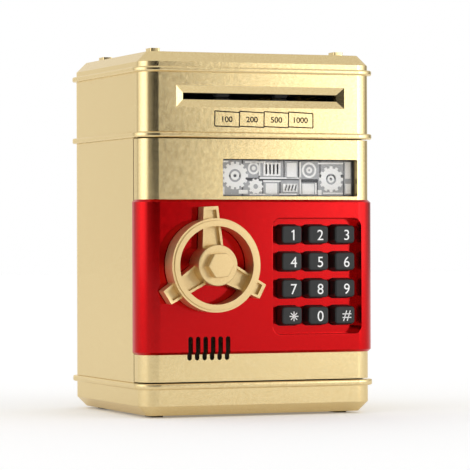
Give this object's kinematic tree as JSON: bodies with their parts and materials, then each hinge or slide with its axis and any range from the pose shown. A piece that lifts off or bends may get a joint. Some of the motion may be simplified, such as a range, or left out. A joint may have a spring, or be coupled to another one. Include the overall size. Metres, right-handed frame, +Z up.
{
  "type": "toy safe coin bank",
  "caption": "Toy safe money bank: gold case, note slot with rollers, hinged red-plated door with keypad, window, grille and a handwheel that works a latch bolt.",
  "frame": {"origin": "middle of the whole object's footprint, on the surface that it stands on", "axes": "+Z up; the door and handwheel face -Y; +X to the right seen from the front, on the hinge side"},
  "size_m": [0.1324, 0.1386, 0.19],
  "materials": {
    "gold_abs": "satin champagne-gold paint on moulded ABS",
    "red_metallic": "metallic red lacquer on moulded ABS",
    "wheel_gold": "matte gold moulded ABS",
    "key_black": "matt black moulded ABS with white figures",
    "black_abs": "black moulded ABS",
    "rubber_black": "black rubber",
    "roller_rubber": "grey rubber",
    "silicone": "grey silicone rubber",
    "steel": "zinc-plated steel",
    "nickel_steel": "nickel-plated sheet steel",
    "cell_steel": "plain grey sleeve on a steel can",
    "white_pom": "natural white acetal",
    "clear_pane": "clear polystyrene",
    "silver_card": "silver-grey plastic relief",
    "board_green": "green circuit board",
    "speaker_black": "black paper cone and frame",
    "copper_coil": "enamelled copper wire"
  },
  "bodies": {
    "case": {"base_tray": "gold_abs", "feet": "rubber_black", "battery_cover": "gold_abs", "battery_cover_screw": "steel", "aa_cells": "cell_steel", "battery_contacts": "nickel_steel", "cavity_floor": "black_abs", "case_screws": "steel", "case_body": "gold_abs", "keeper": "nickel_steel", "keeper_screws": "steel", "head_shell": "gold_abs", "head_screws": "steel", "top_cover": "gold_abs", "coin_chute": "black_abs", "feeder_frame": "black_abs", "feeder_screws": "steel", "feed_motor": "nickel_steel"},
    "door": {"door_panel": "gold_abs", "hinge_pins": "steel", "door_plate": "red_metallic", "plate_screws": "steel", "key_mat": "silicone", "circuit_board": "board_green", "board_screws": "steel", "speaker": "speaker_black", "window_pane": "clear_pane", "window_picture": "silver_card", "door_back_cover": "black_abs", "cover_screws": "steel", "solenoid_frame": "nickel_steel", "solenoid_coil": "copper_coil"},
    "wheel": {"handwheel": "wheel_gold", "hex_cap": "wheel_gold", "wheel_shaft": "steel", "crank_disc": "white_pom"},
    "bolt": {"latch_bolt": "nickel_steel"},
    "plunger": {"lock_plunger": "steel"},
    "feed_roller": {"feed_shaft": "steel", "feed_rollers": "roller_rubber", "roller_gear": "white_pom"},
    "pinch_roller": {"pinch_shaft": "steel", "pinch_rollers": "roller_rubber"},
    "gear_train": {"compound_gear": "white_pom"},
    "motor_rotor": {"motor_pinion": "white_pom"},
    "key_1_body": {"key_1": "key_black"},
    "key_2_body": {"key_2": "key_black"},
    "key_3_body": {"key_3": "key_black"},
    "key_4_body": {"key_4": "key_black"},
    "key_5_body": {"key_5": "key_black"},
    "key_6_body": {"key_6": "key_black"},
    "key_7_body": {"key_7": "key_black"},
    "key_8_body": {"key_8": "key_black"},
    "key_9_body": {"key_9": "key_black"},
    "key_star_body": {"key_star": "key_black"},
    "key_0_body": {"key_0": "key_black"},
    "key_hash_body": {"key_hash": "key_black"}
  },
  "joints": [
    {"name": "door_hinge", "type": "hinge", "parent": "case", "child": "door", "pos_m": [0.0615, -0.03755, 0.0807], "axis": [0, 0, 1], "range_deg": [0, 95]},
    {"name": "wheel_turn", "type": "hinge", "parent": "door", "child": "wheel", "pos_m": [-0.029, -0.04845, 0.0781], "axis": [0, -1, 0], "range_deg": [0, 70]},
    {"name": "bolt_slide", "type": "slide", "parent": "door", "child": "bolt", "axis": [-1, 0, 0], "range_m": [0, 0.00804]},
    {"name": "lock_slide", "type": "slide", "parent": "door", "child": "plunger", "axis": [0, 0, 1], "range_m": [0, 0.003]},
    {"name": "feed_turn", "type": "hinge", "parent": "case", "child": "feed_roller", "pos_m": [0, -0.03295, 0.1587], "axis": [1, 0, 0], "continuous": true},
    {"name": "train_turn", "type": "hinge", "parent": "case", "child": "gear_train", "pos_m": [0, -0.02294, 0.15465], "axis": [1, 0, 0], "continuous": true},
    {"name": "motor_turn", "type": "hinge", "parent": "case", "child": "motor_rotor", "pos_m": [0, -0.01046, 0.1529], "axis": [1, 0, 0], "continuous": true},
    {"name": "pinch_turn", "type": "hinge", "parent": "case", "child": "pinch_roller", "pos_m": [0, -0.03295, 0.169], "axis": [1, 0, 0], "continuous": true},
    {"name": "press_1", "type": "slide", "parent": "door", "child": "key_1_body", "axis": [0, 1, 0], "range_m": [0, 0.0015], "stiffness_N_per_m": 400},
    {"name": "press_2", "type": "slide", "parent": "door", "child": "key_2_body", "axis": [0, 1, 0], "range_m": [0, 0.0015], "stiffness_N_per_m": 400},
    {"name": "press_3", "type": "slide", "parent": "door", "child": "key_3_body", "axis": [0, 1, 0], "range_m": [0, 0.0015], "stiffness_N_per_m": 400},
    {"name": "press_4", "type": "slide", "parent": "door", "child": "key_4_body", "axis": [0, 1, 0], "range_m": [0, 0.0015], "stiffness_N_per_m": 400},
    {"name": "press_5", "type": "slide", "parent": "door", "child": "key_5_body", "axis": [0, 1, 0], "range_m": [0, 0.0015], "stiffness_N_per_m": 400},
    {"name": "press_6", "type": "slide", "parent": "door", "child": "key_6_body", "axis": [0, 1, 0], "range_m": [0, 0.0015], "stiffness_N_per_m": 400},
    {"name": "press_7", "type": "slide", "parent": "door", "child": "key_7_body", "axis": [0, 1, 0], "range_m": [0, 0.0015], "stiffness_N_per_m": 400},
    {"name": "press_8", "type": "slide", "parent": "door", "child": "key_8_body", "axis": [0, 1, 0], "range_m": [0, 0.0015], "stiffness_N_per_m": 400},
    {"name": "press_9", "type": "slide", "parent": "door", "child": "key_9_body", "axis": [0, 1, 0], "range_m": [0, 0.0015], "stiffness_N_per_m": 400},
    {"name": "press_star", "type": "slide", "parent": "door", "child": "key_star_body", "axis": [0, 1, 0], "range_m": [0, 0.0015], "stiffness_N_per_m": 400},
    {"name": "press_0", "type": "slide", "parent": "door", "child": "key_0_body", "axis": [0, 1, 0], "range_m": [0, 0.0015], "stiffness_N_per_m": 400},
    {"name": "press_hash", "type": "slide", "parent": "door", "child": "key_hash_body", "axis": [0, 1, 0], "range_m": [0, 0.0015], "stiffness_N_per_m": 400}
  ],
  "couplings": [
    {"joint": "bolt_slide", "follows": "wheel_turn", "m_per_rad": 0.0065727},
    {"joint": "train_turn", "follows": "feed_turn", "ratio": -2},
    {"joint": "motor_turn", "follows": "feed_turn", "ratio": 5},
    {"joint": "pinch_turn", "follows": "feed_turn", "ratio": -1.5}
  ]
}
